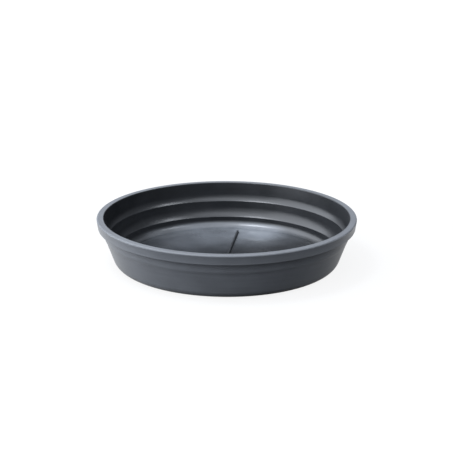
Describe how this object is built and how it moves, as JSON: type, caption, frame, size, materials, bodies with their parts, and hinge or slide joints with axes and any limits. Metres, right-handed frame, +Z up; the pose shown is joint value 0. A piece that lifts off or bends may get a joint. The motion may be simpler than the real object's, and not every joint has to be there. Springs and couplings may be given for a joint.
{
  "type": "plant saucer",
  "caption": "Round deep plant saucer with a turned-down rim, stepped wall and raised floor ribs, which stands under a pot and catches its drain water.",
  "frame": {"origin": "centre of the flat face that the saucer stands on", "axes": "+Z up along the saucer's axis; +X and +Y lie along two of the four floor ribs"},
  "size_m": [0.28, 0.28, 0.0525],
  "materials": {
    "wall_plastic": "satin anthracite with a very fine moulded grain",
    "floor_plastic": "smooth satin anthracite, a little glossier than the wall"
  },
  "bodies": {
    "root": {"rim": "wall_plastic", "upper_wall": "wall_plastic", "middle_wall": "wall_plastic", "lower_wall": "wall_plastic", "floor_plate": "floor_plastic", "right_rib": "floor_plastic", "back_rib": "floor_plastic", "left_rib": "floor_plastic", "front_rib": "floor_plastic"}
  },
  "joints": []
}
